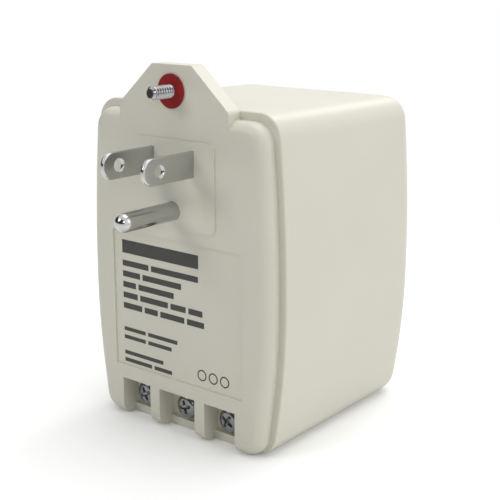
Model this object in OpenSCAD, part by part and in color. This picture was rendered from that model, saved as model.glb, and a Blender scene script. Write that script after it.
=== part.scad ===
// Plug-in transformer for a wall socket: a deep case with bowed sides, a front cover with
// a mounting tab, plug blades and screw terminals, and the transformer inside.
// X runs across the mounting face, Y runs back from it and Z runs up.
// The origin is on the base, a set distance behind the mounting face.

/* [Rear case] */
// Width of the case where its bowed sides are widest
case_w = 61.6; // [60:0.1:65]
// Height of the case
case_h = 82.3; // [80:0.1:88]
// Distance from the mounting face to the back of the case
case_depth = 61.6; // [61:0.1:68]
// Height at which the sides are widest
bow_z = 36; // [30:0.5:44]
// Radius of the bow of the sides above their widest height
bow_upper_r = 404; // [300:1:600]
// Radius of the bow of the sides below their widest height
bow_lower_r = 179; // [160:1:300]
// Radius of the four long corners of the case
case_corner_r = 5.4; // [5.2:0.1:7]
// Radius round the back edge of the case
back_edge_r = 5; // [3:0.1:5]
// Wall thickness of the case
case_wall = 2.2; // [1.8:0.1:2.6]
// Draw of the sides and top from the rim to the back
case_draft = 0.75; // [0:0.05:1.2]
// Distance from the mounting face back to the rim of the case
rim_y = 4.1; // [3.6:0.1:4.4]
// Distance from the mounting face back to the origin on the base
origin_y = 32; // [25:1:40]

/* [Front cover] */
// Step in from the side of the case to the side of the cover
cover_side_step = 1.9; // [1.5:0.1:2.1]
// Step down from the top of the case to the top of the cover
cover_top_step = 2; // [1.6:0.1:2.2]
// Height of the underside of the cover above the base
cover_lift = 1.5; // [1.2:0.1:1.9]
// Radius of the corners of the cover, seen from the front
cover_corner_r = 5.2; // [4.5:0.1:6.5]
// Radius round the front edge of the cover
cover_edge_r = 3; // [2:0.1:3.2]
// Thickness of the front wall of the cover
face_t = 2.3; // [2:0.1:2.6]
// Thickness of the side walls of the cover
cover_wall = 2.3; // [2:0.1:2.5]
// Length of the lip that enters the case
lip_len = 4; // [3:0.1:5]
// Thickness of the lip
lip_t = 1.5; // [1.2:0.1:1.8]
// Clearance between the lip and the case
lip_gap = 0.1; // [0.05:0.01:0.2]
// Width of the raised pad round the plug
pad_w = 26.2; // [25.6:0.1:28]
// Height of the raised pad
pad_h = 21.4; // [21:0.1:23]
// Corner radius of the raised pad
pad_corner_r = 1.75; // [1:0.05:3]
// How far the pad stands out of the mounting face
pad_rise = 0.4; // [0.2:0.05:0.8]
// Width of the label recess
label_w = 42; // [38:0.5:44]
// Depth of the label recess
label_depth = 0.4; // [0.2:0.05:0.7]
// Bare face between the label recess and the pad
label_pad_gap = 3.2; // [2:0.1:5]
// Bare face between the label recess and the terminal recesses
label_terminal_gap = 3.7; // [2:0.1:5]

/* [Mounting tab] */
// Width of the tab at its top edge
tab_top_w = 12.3; // [10:0.1:16]
// Width of the tab at its shoulders
tab_base_w = 34.4; // [28:0.1:38]
// Height of the top edge of the tab above the case
tab_rise = 9.6; // [9:0.1:12]
// Corner radius at the top edge of the tab
tab_corner_r = 1.2; // [0.5:0.1:2]
// Corner radius at the shoulders of the tab
tab_shoulder_r = 1.5; // [0.5:0.1:3]
// Height of the mounting screw above the case
screw_rise = 3.5; // [3.4:0.1:4.2]

/* [Plug] */
// Distance between the two flat blades, centre to centre
blade_pitch = 12.7; // [12.6:0.05:12.8]
// Height of each blade
blade_h = 6.35; // [6.2:0.05:6.5]
// Thickness of each blade
blade_t = 1.52; // [1.4:0.02:1.6]
// Length of each blade in front of the mounting face
blade_len = 16.8; // [15.9:0.1:18.2]
// Corner radius at the tip of each blade
blade_tip_r = 2.3; // [1:0.1:2.8]
// Diameter of the hole in each blade
blade_hole_d = 4; // [3.8:0.05:4.1]
// Distance from the mounting face to the hole in a blade
blade_hole_y = 11.7; // [11.5:0.1:11.9]
// Depth of the blades below the top of the case
plug_drop = 12.9; // [12.5:0.1:14]
// Distance from the blades down to the ground pin
pin_drop = 11.9; // [11.8:0.05:12]
// Diameter of the ground pin
pin_d = 4.75; // [4.7:0.01:4.8]
// Length of the ground pin in front of the mounting face
pin_len = 19.05; // [19:0.05:21.3]

/* [Mounting screw] */
// Thread diameter of the mounting screw
screw_d = 3.5; // [3.3:0.05:3.6]
// Length of thread in front of the washer
thread_len = 6; // [5:0.1:9]
// Diameter of the plain neck in the tab
neck_d = 2.9; // [2.6:0.05:3.1]
// Diameter of the hole in the tab
tab_hole_d = 4; // [3.8:0.05:4.4]
// Diameter of the screw head behind the tab
screw_head_d = 6.2; // [5.6:0.1:6.3]
// Height of the screw head
screw_head_h = 2.2; // [1.8:0.1:2.6]
// Diameter of the fibre washer
washer_d = 8.2; // [7.5:0.1:9]
// Thickness of the fibre washer
washer_t = 0.8; // [0.5:0.05:1]
// End play of the captive screw at each face of the tab
screw_play = 0.1; // [0.05:0.01:0.3]

/* [Terminals] */
// Distance between neighbouring terminals
terminal_pitch = 13.95; // [13.8:0.05:14.4]
// Width of the middle terminal recess
middle_pocket_w = 11.8; // [11:0.1:12.2]
// Width of the two outer terminal recesses
side_pocket_w = 9.7; // [9:0.1:10.2]
// Height of the top of the recesses above the base
pocket_top = 10.6; // [10.4:0.1:11.4]
// Depth of the recesses behind the mounting face
pocket_depth = 5.3; // [5:0.1:5.6]
// Wall behind and above the recesses
pocket_wall = 1.7; // [1.5:0.1:2]
// Height of the terminal screws above the base
terminal_z = 6.2; // [6.1:0.05:6.4]
// Diameter of a terminal screw head
terminal_head_d = 6.2; // [5.8:0.1:6.3]
// Height of a terminal screw head
terminal_head_h = 1.9; // [1.6:0.1:2.1]
// Thread diameter of a terminal screw
terminal_thread_d = 3.4; // [3:0.05:3.5]
// Length of a terminal screw under its head
terminal_screw_len = 8; // [7:0.1:9]
// Gap for a wire between the pressure washer and the tapped plate, as stored
wire_gap = 1.4; // [1.3:0.05:1.6]
// Side of the square pressure washer
clamp_w = 5.6; // [5:0.1:5.8]
// Thickness of the pressure washer
clamp_t = 0.8; // [0.6:0.05:0.9]
// Thickness of the tapped plate
plate_t = 1.2; // [1:0.05:1.4]
// Width of the tapped plate
plate_w = 8.8; // [8:0.1:9.4]
// Height of the solder lug above the wall over the recesses
lug_rise = 3; // [2.5:0.1:4]

/* [Transformer] */
// Clearance between the core and the side walls of the case at their widest
core_side_gap = 3.6; // [3.4:0.1:5]
// Clearance between the core and the walls above and below it
core_end_gap = 8.9; // [8.7:0.1:11]
// Clearance between the coil and the tails of the plug
coil_front_gap = 3; // [3:0.1:6]
// Wall of the bobbin
bobbin_wall = 1.2; // [0.8:0.1:1.4]
// Clearance between the bobbin and the core
bobbin_gap = 0.15; // [0.1:0.01:0.3]
// Space left in the core window outside the tape
window_gap = 0.9; // [0.6:0.1:1.4]
// Thickness of the tape round each winding
tape_t = 0.35; // [0.2:0.05:0.5]
// Space behind the coil, in front of the back wall
coil_back_gap = 2; // [1.5:0.1:2.2]
// Diameter of the insulated leads
lead_d = 1.8; // [1.4:0.1:2]
// Diameter of the thermal fuse
fuse_d = 3; // [2.5:0.1:3.2]
// Length of the thermal fuse
fuse_len = 11; // [9:0.5:13]

/* [Hidden] */
$fn = 64;

// Steps along one corner, one half of a side, and one rounded edge of a lofted shell
corner_steps = 9;
side_steps = 6;
edge_steps = 8;
// Overlap that joins solids of one piece, and the overshoot of a cut
joint = 0.5;
cut = 1;
// Play of a piece in the slot or hole that holds it
seat_gap = 0.05;

half_w = case_w / 2;
back_r = min(back_edge_r, case_corner_r - 0.3);
cover_half_w = half_w - cover_side_step;
cover_top = case_h - cover_top_step;
edge_r = min(cover_edge_r, cover_corner_r - 1);
cavity_back = case_depth - case_wall;
lip_inset = case_wall + lip_gap;
lip_back = rim_y + lip_len;

blade_z = case_h - plug_drop;
pin_z = blade_z - pin_drop;
pad_top = (blade_z + pin_z) / 2 + pad_h / 2 + 0.5;
pad_bottom = pad_top - pad_h;
label_top = pad_bottom - label_pad_gap;
label_bottom = pocket_top + label_terminal_gap;
screw_z = case_h + screw_rise;
tab_top = case_h + tab_rise;
tab_shoulder_z = case_h - 0.3;

pocket_back = pocket_depth + pocket_wall;
block_top = pocket_top + pocket_wall;
block_bottom = case_wall + 0.2;
block_half_w = terminal_pitch + side_pocket_w / 2 + pocket_wall;
window_w = terminal_head_d + 0.8;
window_sill = 0.4;
window_h = 2 * (terminal_z - block_bottom - window_sill);
clamp_y = pocket_back - wire_gap - clamp_t;
terminal_head_y = clamp_y - terminal_head_h;
plate_bottom = case_wall + lip_gap + lip_t + 0.2;
plate_top = block_top + lug_rise;

// The retaining plate lies behind the shoulders of the blades and the pin
shoulder_t = 1.3;
shoulder_h = 1.1;
retainer_y = face_t + shoulder_t;
retainer_t = 1.4;
retainer_edge = 2;
retainer_w = 25;
tail_len = 3.2;
tail_y = retainer_y + retainer_t + tail_len;
peg_r = 1.2;
peg_x = retainer_w / 2 - peg_r - 0.7;
peg_z = (blade_z + pin_z) / 2;
// The collar of the ground pin fills its hole in the front wall
pin_collar_r = pin_d / 2 + 0.25;
pin_flange_r = pin_d / 2 + 1.2;

// The core fits the case, and all its sizes follow the width of its centre leg, as those of
// stamped laminations do
tongue = min((case_w - 2 * (case_wall + core_side_gap)) / 2.5,
    (case_h - 2 * (case_wall + core_end_gap)) / 3);
leg = tongue / 2;
window_len = 1.5 * tongue;
core_h = 3 * tongue;
core_w = 2.5 * tongue;
core_z = case_h / 2;
core_top = core_z + core_h / 2;
core_bottom = core_z - core_h / 2;
tube_h = tongue + 2 * (bobbin_gap + bobbin_wall);
coil_h = tongue + 2 * (leg - window_gap);
build_up = (coil_h - tube_h) / 2;
coil_front = tail_y + coil_front_gap;
coil_y = cavity_back - coil_back_gap - coil_front;
tube_y = coil_y - 2 * build_up;
stack = tube_y - 2 * (bobbin_gap + bobbin_wall);
winding_h = coil_h - 2 * tape_t;
winding_y = coil_y - 2 * tape_t;
core_y = coil_front + coil_y / 2;
core_front = core_y - stack / 2;
core_back = core_y + stack / 2;
coil_top = core_z + coil_h / 2;
coil_bottom = core_z - coil_h / 2;
flange_h = coil_h + window_gap;
section_len = window_len / 2 - 1.5 * bobbin_wall - bobbin_gap;
coil_corner_r = 3;

// Posts of the cover and the case bear on the middle of the outer legs of the core
post_w = 4;
post_x = core_w / 2 - leg / 2 + 1.5;
post_z = core_h / 2 - leg / 2;
rib_t = 2;

// The fuse stands on the front of the primary coil, with a bent end into the winding
fuse_wire_d = 0.9;
fuse_leg = 3;
fuse_x = -bobbin_wall / 2 - 0.6 * section_len;
fuse_y = coil_front - fuse_d / 2 - seat_gap;
fuse_low = core_z - fuse_len / 2 - fuse_leg;
fuse_high = fuse_low + fuse_len;

// A lead is soldered under the tail of its blade or pin, and on the edge of its lug
solder_y = tail_y - 1.2;
lug_y = pocket_back + plate_t / 2;
lug_z = plate_top + seat_gap;
under_blade = blade_z - blade_h / 3 - seat_gap;
under_pin = pin_z - pin_d / 3 - seat_gap;
// Leads that meet the coil enter it in front of the core
lead_in_y = (coil_front + core_front) / 2;
line_in_x = -bobbin_wall / 2 - section_len / 3;
secondary_in_x = bobbin_wall / 2 + section_len / 4;
secondary_out_x = bobbin_wall / 2 + 3 * section_len / 4;
lead_bend = 6;

ivory = [0.86, 0.85, 0.78];
steel = [0.62, 0.62, 0.64];
dark_steel = [0.3, 0.3, 0.32];
copper = [0.72, 0.38, 0.2];

// Half of the outline of the case or cover, from the middle of the bottom corner up to the
// top corner: two corner arcs and two shallow bows that meet at bow_z
function half_outline(w, low, high, r, inset) =
    let (
        corner_r = r - inset,
        low_r = bow_lower_r - inset,
        up_r = bow_upper_r - inset,
        low_z = low + r,
        up_z = high - r,
        low_a = asin((bow_z - low_z) / (low_r - corner_r)),
        up_a = asin((up_z - bow_z) / (up_r - corner_r)),
        low_x = w - inset - low_r + (low_r - corner_r) * cos(low_a),
        up_x = w - inset - up_r + (up_r - corner_r) * cos(up_a)
    )
    concat(
        [for (i = [0:corner_steps]) let (a = -90 + (90 - low_a) * i / corner_steps)
            [low_x + corner_r * cos(a), low_z + corner_r * sin(a)]],
        [for (i = [1:side_steps]) let (a = -low_a + low_a * i / side_steps)
            [w - inset - low_r + low_r * cos(a), bow_z + low_r * sin(a)]],
        [for (i = [1:side_steps]) let (a = up_a * i / side_steps)
            [w - inset - up_r + up_r * cos(a), bow_z + up_r * sin(a)]],
        [for (i = [1:corner_steps]) let (a = up_a + (90 - up_a) * i / corner_steps)
            [up_x + corner_r * cos(a), up_z + corner_r * sin(a)]]
    );

function outline(w, low, high, r, inset) =
    let (h = half_outline(w, low, high, r, inset))
    concat(h, [for (i = [len(h) - 1:-1:0]) [-h[i][0], h[i][1]]]);

// Outline of the case at a distance y behind the mounting face, drawn in towards the back
function case_ring(y, inset) =
    let (draw = case_draft * (y - rim_y) / (case_depth - rim_y))
    outline(half_w - draw, 0, case_h - draw, case_corner_r, inset);

function cover_ring(inset) = outline(cover_half_w, cover_lift, cover_top, cover_corner_r, inset);

// Corner arc of radius r at b, between a and c
function arc_corner(a, b, c, r, steps) =
    let (
        u = (a - b) / norm(a - b),
        v = (c - b) / norm(c - b),
        half = acos(u * v) / 2,
        centre = b + (u + v) / norm(u + v) * r / sin(half),
        from = b + u * r / tan(half) - centre,
        to = b + v * r / tan(half) - centre,
        a0 = atan2(from[1], from[0]),
        sweep = ((atan2(to[1], to[0]) - a0 + 540) % 360) - 180
    )
    [for (i = [0:steps]) centre + r * [cos(a0 + sweep * i / steps), sin(a0 + sweep * i / steps)]];

// Closed outline through the points p, each corner i rounded to radius r[i]
function rounded(p, r, steps = 6) =
    let (n = len(p))
    [for (i = [0:n - 1]) each arc_corner(p[(i + n - 1) % n], p[i], p[(i + 1) % n], r[i], steps)];

function rounded_box(w, h, r) =
    rounded([[-w / 2, -h / 2], [w / 2, -h / 2], [w / 2, h / 2], [-w / 2, h / 2]], [r, r, r, r]);

function bezier(p, t) =
    pow(1 - t, 3) * p[0] + 3 * pow(1 - t, 2) * t * p[1] + 3 * (1 - t) * t * t * p[2] + pow(t, 3) * p[3];

function bezier_slope(p, t) =
    3 * pow(1 - t, 2) * (p[1] - p[0]) + 6 * (1 - t) * t * (p[2] - p[1]) + 3 * t * t * (p[3] - p[2]);

function unit(v) = v / norm(v);

// Solid through a row of rings [y, outline], front to back, all with the same number of points
module loft(rings) {
    n = len(rings[0][1]);
    m = len(rings);
    points = [for (ring = rings) for (p = ring[1]) [p[0], ring[0], p[1]]];
    sides = [for (k = [0:m - 2]) for (i = [0:n - 1])
        let (a = k * n + i, b = k * n + (i + 1) % n, c = (k + 1) * n + (i + 1) % n, d = (k + 1) * n + i)
        each [[a, b, c], [a, c, d]]];
    front = [[for (i = [n - 1:-1:0]) i]];
    back = [[for (i = [0:n - 1]) (m - 1) * n + i]];
    polyhedron(points, concat(sides, front, back));
}

// Round wire along a bezier curve whose control points are p and which nowhere runs along Y
module wire(p, d, sides = 8, steps = 12) {
    rings = [for (k = [0:steps])
        let (
            t = k / steps,
            along = unit(bezier_slope(p, t)),
            across = unit(cross(along, [0, 1, 0])),
            up = cross(along, across)
        )
        [for (i = [0:sides - 1]) bezier(p, t) + d / 2 * (cos(360 * i / sides) * across + sin(360 * i / sides) * up)]];
    walls = [for (k = [0:steps - 1]) for (i = [0:sides - 1])
        let (a = k * sides + i, b = k * sides + (i + 1) % sides)
        each [[a, a + sides, b + sides], [a, b + sides, b]]];
    first = [[for (i = [0:sides - 1]) i]];
    last = [[for (i = [sides - 1:-1:0]) steps * sides + i]];
    polyhedron([for (ring = rings) each ring], concat(walls, first, last));
}

module from_face() {
    translate([0, -origin_y, 0]) children();
}

// Carries a flat shape drawn in X and Z from y0 back to y1
module along_y(y0, y1) {
    translate([0, y1, 0]) rotate([90, 0, 0]) linear_extrude(y1 - y0) children();
}

// Carries a flat shape drawn in Y and Z from x0 across to x1
module along_x(x0, x1) {
    translate([x0, 0, 0]) rotate([90, 0, 90]) linear_extrude(x1 - x0) children();
}

// Turned piece whose profile [radius, distance along Y] is revolved about Y
module turned(profile) {
    rotate([-90, 0, 0]) rotate_extrude() polygon(profile);
}

module block(low, high) {
    translate(low) cube(high - low);
}

module at(x, y, z) {
    translate([x, y, z]) children();
}

// Places the children at the four points of the core where posts bear on it
module at_posts() {
    for (x = [-post_x, post_x]) {
        for (z = [-post_z, post_z]) {
            translate([x, 0, core_z + z]) children();
        }
    }
}

module case_outside() {
    loft(concat(
        [[rim_y, case_ring(rim_y, 0)]],
        [for (i = [0:edge_steps])
            let (a = 90 * i / edge_steps, y = case_depth - back_r + back_r * sin(a))
            [y, case_ring(y, back_r * (1 - cos(a)))]]
    ));
}

module case_cavity() {
    r = max(back_r - case_wall, 0.5);
    loft(concat(
        [[rim_y - cut, case_ring(rim_y - cut, case_wall)]],
        [for (i = [0:3])
            let (a = 30 * i, y = cavity_back - r + r * sin(a))
            [y, case_ring(y, case_wall + r * (1 - cos(a)))]]
    ));
}

// Ribs round the core, and posts between it and the back wall
module case_ribs() {
    for (side = [-1, 1]) {
        at(side * post_x, 0, 0) block([-rib_t / 2, core_front, 0], [rib_t / 2, core_back, core_bottom]);
        at(side * post_x, 0, 0) block([-rib_t / 2, core_front, core_top], [rib_t / 2, core_back, case_h]);
        for (z = [-leg, leg]) {
            block([side > 0 ? core_w / 2 : -half_w, core_front, bow_z + z],
                [side > 0 ? half_w : -core_w / 2, core_back, bow_z + z + rib_t]);
        }
    }
    at_posts() block([-post_w / 2, core_back, -post_w / 2], [post_w / 2, case_depth, post_w / 2]);
}

module rear_case() {
    color(ivory) from_face() difference() {
        case_outside();
        difference() {
            case_cavity();
            case_ribs();
        }
    }
}

module cover_outside() {
    loft(concat(
        [for (i = [0:edge_steps])
            let (a = 90 * (1 - i / edge_steps))
            [edge_r * (1 - sin(a)), cover_ring(edge_r * (1 - cos(a)))]],
        [[rim_y, cover_ring(0)]]
    ));
}

module cover_lip() {
    along_y(rim_y - joint, lip_back) difference() {
        polygon(case_ring(lip_back, lip_inset));
        polygon(case_ring(lip_back, lip_inset + lip_t));
    }
}

module tab_shape() {
    low = cover_top - edge_r - 1;
    polygon(rounded(
        [[-tab_base_w / 2, low], [tab_base_w / 2, low], [tab_base_w / 2, tab_shoulder_z],
            [tab_top_w / 2, tab_top], [-tab_top_w / 2, tab_top], [-tab_base_w / 2, tab_shoulder_z]],
        [0.3, 0.3, tab_shoulder_r, tab_corner_r, tab_corner_r, tab_shoulder_r]
    ));
}

// Space of one terminal recess, open at the front and below
module pocket(x, w) {
    block([x - w / 2, -cut, -cut], [x + w / 2, pocket_depth, pocket_top]);
    at(x, 0, terminal_z) along_y(pocket_depth - cut, max(pocket_back, lip_back) + cut)
        polygon(rounded_box(window_w, window_h, 0.8));
}

module cover_solids() {
    difference() {
        cover_outside();
        along_y(face_t, rim_y + cut) polygon(cover_ring(cover_wall));
    }
    cover_lip();
    along_y(0, rim_y) tab_shape();
    at(0, 0, (pad_top + pad_bottom) / 2) along_y(-pad_rise, joint) polygon(rounded_box(pad_w, pad_h, pad_corner_r));
    block([-block_half_w, face_t - joint, block_bottom], [block_half_w, pocket_back, block_top]);
    at_posts() block([-post_w / 2, face_t - joint, -post_w / 2], [post_w / 2, core_front, post_w / 2]);
    for (x = [-peg_x, peg_x]) {
        at(x, 0, peg_z) turned([[0, face_t - joint], [2 * peg_r, face_t - joint], [2 * peg_r, retainer_y],
            [peg_r, retainer_y], [peg_r, retainer_y + retainer_t + 0.6], [0, retainer_y + retainer_t + 0.6]]);
    }
}

module front_cover() {
    color(ivory) from_face() difference() {
        cover_solids();
        block([-label_w / 2, -cut, label_bottom], [label_w / 2, label_depth, label_top]);
        pocket(-terminal_pitch, side_pocket_w);
        pocket(0, middle_pocket_w);
        pocket(terminal_pitch, side_pocket_w);
        for (x = [-blade_pitch / 2, blade_pitch / 2]) {
            at(x, 0, blade_z) block([-blade_t / 2 - seat_gap, -cut, -blade_h / 2 - seat_gap],
                [blade_t / 2 + seat_gap, face_t + cut, blade_h / 2 + seat_gap]);
        }
        at(0, 0, pin_z) turned([[0, -cut], [pin_collar_r + seat_gap, -cut],
            [pin_collar_r + seat_gap, face_t + cut], [0, face_t + cut]]);
        at(0, 0, screw_z) turned([[0, -cut], [tab_hole_d / 2, -cut], [tab_hole_d / 2, rim_y + cut], [0, rim_y + cut]]);
    }
}

module blade_retainer() {
    low = pin_z - pin_flange_r - retainer_edge;
    high = blade_z + blade_h / 2 + retainer_edge;
    color([0.2, 0.2, 0.2]) from_face() difference() {
        at(0, 0, (low + high) / 2) along_y(retainer_y, retainer_y + retainer_t)
            polygon(rounded_box(retainer_w, high - low, 1.5));
        for (x = [-blade_pitch / 2, blade_pitch / 2]) {
            at(x, 0, blade_z) block([-blade_t / 2 - seat_gap, retainer_y - cut, -blade_h / 3 - seat_gap],
                [blade_t / 2 + seat_gap, retainer_y + retainer_t + cut, blade_h / 3 + seat_gap]);
        }
        at(0, 0, pin_z) turned([[0, retainer_y - cut], [pin_d / 3 + seat_gap, retainer_y - cut],
            [pin_d / 3 + seat_gap, retainer_y + retainer_t + cut], [0, retainer_y + retainer_t + cut]]);
        for (x = [-peg_x, peg_x]) {
            at(x, 0, peg_z) turned([[0, retainer_y - cut], [peg_r + seat_gap, retainer_y - cut],
                [peg_r + seat_gap, retainer_y + retainer_t + cut], [0, retainer_y + retainer_t + cut]]);
        }
    }
}

// Flat blade with a rounded and bevelled tip, a shoulder behind the front wall and a narrow tail
module plug_blade(x) {
    bevel = blade_t / 5;
    h = blade_h / 2;
    w = blade_t / 2;
    front = [[-blade_len, -h], [face_t, -h], [face_t, h], [-blade_len, h]];
    color(steel) from_face() at(x, 0, blade_z) difference() {
        intersection() {
            along_x(-w, w) {
                polygon(rounded(front, [blade_tip_r, 0.01, 0.01, blade_tip_r], 8));
                polygon([[face_t - joint, -h], [face_t, -h], [face_t, -h - shoulder_h], [retainer_y, -h - shoulder_h],
                    [retainer_y, -blade_h / 3], [tail_y, -blade_h / 3], [tail_y, blade_h / 3],
                    [retainer_y, blade_h / 3], [retainer_y, h + shoulder_h], [face_t, h + shoulder_h],
                    [face_t, h], [face_t - joint, h]]);
            }
            translate([0, 0, -blade_h]) linear_extrude(2 * blade_h) polygon([
                [-w + bevel, -blade_len], [w - bevel, -blade_len], [w, -blade_len + bevel], [w, tail_y],
                [-w, tail_y], [-w, -blade_len + bevel]]);
        }
        translate([-blade_t, -blade_hole_y, 0]) rotate([0, 90, 0]) cylinder(h = 2 * blade_t, d = blade_hole_d);
    }
}

module line_blade() {
    plug_blade(blade_pitch / 2);
}

module neutral_blade() {
    plug_blade(-blade_pitch / 2);
}

module ground_pin() {
    r = pin_d / 2;
    color(steel) from_face() at(0, 0, pin_z) turned(concat(
        [for (i = [0:12]) [r * sin(90 * i / 12), -pin_len + r - r * cos(90 * i / 12)]],
        [[r, -pad_rise], [pin_collar_r, -pad_rise], [pin_collar_r, face_t], [pin_flange_r, face_t], [pin_flange_r, retainer_y],
            [pin_d / 3, retainer_y], [pin_d / 3, tail_y], [0, tail_y]]
    ));
}

// Cross recess, cut into the face of a head that looks along the turn of its own frame
module cross_recess(size, depth) {
    for (a = [0, 90]) {
        rotate([0, a, 0]) block([-size / 2, -cut, -size / 8], [size / 2, depth, size / 8]);
    }
}

module mounting_screw() {
    tip = -screw_play - washer_t - thread_len;
    head = rim_y + screw_play;
    r = screw_d / 2;
    color(steel) from_face() at(0, 0, screw_z) difference() {
        turned([[0, tip - 0.7], [r - 0.6, tip - 0.7], [r, tip], [r, -screw_play - washer_t],
            [neck_d / 2, -screw_play - washer_t], [neck_d / 2, head], [screw_head_d / 2, head],
            [screw_head_d / 2, head + 0.6 * screw_head_h], [screw_head_d / 2 - 0.8, head + screw_head_h],
            [0, head + screw_head_h]]);
        translate([0, head + screw_head_h, 0]) rotate([0, 0, 180]) cross_recess(screw_head_d / 2, 0.6 * screw_head_h);
    }
}

module retaining_washer() {
    back = -screw_play;
    color([0.55, 0.1, 0.12]) from_face() at(0, 0, screw_z) turned([
        [neck_d / 2 + seat_gap, back - washer_t], [washer_d / 2, back - washer_t],
        [washer_d / 2, back], [neck_d / 2 + seat_gap, back]]);
}

module terminal_plate(x) {
    color(steel) from_face() at(x, 0, 0) difference() {
        union() {
            block([-plate_w / 2, pocket_back, plate_bottom], [plate_w / 2, pocket_back + plate_t, block_top - joint]);
            block([-plate_w / 4, pocket_back, block_top - cut], [plate_w / 4, pocket_back + plate_t, plate_top]);
        }
        at(0, pocket_back - cut, terminal_z) rotate([-90, 0, 0])
            cylinder(h = plate_t + 2 * cut, d = terminal_thread_d + 2 * seat_gap);
    }
}

module wire_clamp(x) {
    color(steel) from_face() at(x, clamp_y, terminal_z) difference() {
        along_y(0, clamp_t) polygon(rounded_box(clamp_w, clamp_w, 0.4));
        translate([0, -cut, 0]) rotate([-90, 0, 0]) cylinder(h = clamp_t + 2 * cut, d = terminal_thread_d + 2 * seat_gap);
    }
}

module terminal_screw(x) {
    r = terminal_head_d / 2;
    h = terminal_head_h;
    s = terminal_thread_d / 2;
    color(dark_steel) from_face() at(x, terminal_head_y, terminal_z) difference() {
        turned([[0, 0], [0.55 * r, 0.06 * h], [0.85 * r, 0.25 * h], [r, 0.6 * h], [r, h], [s, h],
            [s, h + terminal_screw_len - 0.5], [s - 0.5, h + terminal_screw_len], [0, h + terminal_screw_len]]);
        cross_recess(1.1 * r, 0.65 * h);
    }
}

module terminal_plate_left() {
    terminal_plate(-terminal_pitch);
}

module terminal_plate_middle() {
    terminal_plate(0);
}

module terminal_plate_right() {
    terminal_plate(terminal_pitch);
}

module wire_clamp_left() {
    wire_clamp(-terminal_pitch);
}

module wire_clamp_middle() {
    wire_clamp(0);
}

module wire_clamp_right() {
    wire_clamp(terminal_pitch);
}

module terminal_screw_left() {
    terminal_screw(-terminal_pitch);
}

module terminal_screw_middle() {
    terminal_screw(0);
}

module terminal_screw_right() {
    terminal_screw(terminal_pitch);
}

// E-shaped laminations, legs pointing to the right
module core_e_stack() {
    left = -core_w / 2;
    inner = left + leg;
    tip = inner + window_len;
    color(dark_steel) from_face() at(0, 0, core_z) along_y(core_front, core_back) polygon([
        [left, -core_h / 2], [tip, -core_h / 2], [tip, -core_h / 2 + leg], [inner, -core_h / 2 + leg],
        [inner, -leg], [tip, -leg], [tip, leg], [inner, leg],
        [inner, core_h / 2 - leg], [tip, core_h / 2 - leg], [tip, core_h / 2], [left, core_h / 2]]);
}

module core_i_stack() {
    right = core_w / 2;
    color(dark_steel) from_face() at(0, 0, core_z)
        block([right - leg, core_front, -core_h / 2], [right, core_back, core_h / 2]);
}

// Hollow rectangular ring from x0 to x1 round the centre leg
module sleeve(x0, x1, inner_y, inner_z, outer_y, outer_z, r) {
    from_face() translate([0, core_y, core_z]) along_x(x0, x1) difference() {
        polygon(rounded_box(outer_y, outer_z, r));
        square([inner_y, inner_z], center = true);
    }
}

module bobbin() {
    inner_y = stack + 2 * bobbin_gap;
    inner_z = tongue + 2 * bobbin_gap;
    end = window_len / 2 - bobbin_gap;
    color([0.85, 0.8, 0.65]) {
        sleeve(-end, end, inner_y, inner_z, tube_y, tube_h, 0.5);
        for (x = [-end, -bobbin_wall / 2, end - bobbin_wall]) {
            sleeve(x, x + bobbin_wall, inner_y, inner_z, coil_y, flange_h, 1);
        }
    }
}

module winding(x0) {
    color(copper) sleeve(x0, x0 + section_len, tube_y + 2 * seat_gap, tube_h + 2 * seat_gap,
        winding_y, winding_h, coil_corner_r);
}

module primary_winding() {
    winding(-bobbin_wall / 2 - section_len);
}

module secondary_winding() {
    winding(bobbin_wall / 2);
}

module tape(x0) {
    color([0.9, 0.75, 0.2]) from_face() translate([0, core_y, core_z]) along_x(x0 + seat_gap, x0 + section_len - seat_gap)
        difference() {
            polygon(rounded_box(coil_y, coil_h, coil_corner_r + tape_t));
            polygon(rounded_box(winding_y, winding_h, coil_corner_r));
        }
}

module primary_tape() {
    tape(-bobbin_wall / 2 - section_len);
}

module secondary_tape() {
    tape(bobbin_wall / 2);
}

module thermal_fuse() {
    color([0.85, 0.85, 0.85]) from_face() {
        at(fuse_x, fuse_y, fuse_low) cylinder(h = fuse_len, d = fuse_d);
        at(fuse_x, fuse_y, fuse_low - fuse_leg) cylinder(h = fuse_leg + joint, d = fuse_wire_d);
        at(fuse_x, fuse_y, fuse_low - fuse_leg) rotate([-90, 0, 0])
            cylinder(h = fuse_d / 2 + seat_gap, d = fuse_wire_d);
    }
}

module line_lead() {
    color([0.1, 0.1, 0.1]) from_face() wire([
        [blade_pitch / 2, solder_y, under_blade],
        [blade_pitch / 2, solder_y, under_blade - lead_bend],
        [line_in_x, lead_in_y, coil_top + seat_gap + lead_bend],
        [line_in_x, lead_in_y, coil_top + seat_gap]], lead_d);
}

module neutral_lead() {
    color([0.9, 0.9, 0.88]) from_face() wire([
        [-blade_pitch / 2, solder_y, under_blade],
        [-blade_pitch / 2, solder_y, under_blade - lead_bend],
        [fuse_x, fuse_y, fuse_high + seat_gap + lead_bend],
        [fuse_x, fuse_y, fuse_high + seat_gap]], lead_d);
}

module ground_lead() {
    color([0.15, 0.4, 0.2]) from_face() wire([
        [0, solder_y, under_pin],
        [0, solder_y, under_pin - 2 * lead_bend],
        [0, lug_y, lug_z + 2 * lead_bend],
        [0, lug_y, lug_z]], lead_d);
}

module secondary_lead(start_x, end_x) {
    color([0.6, 0.1, 0.1]) from_face() wire([
        [start_x, lead_in_y, coil_bottom - seat_gap],
        [start_x, lead_in_y, coil_bottom - seat_gap - lead_bend],
        [end_x, lug_y, lug_z + lead_bend],
        [end_x, lug_y, lug_z]], lead_d);
}

module secondary_lead_left() {
    secondary_lead(secondary_in_x, -terminal_pitch);
}

module secondary_lead_right() {
    secondary_lead(secondary_out_x, terminal_pitch);
}

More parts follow.
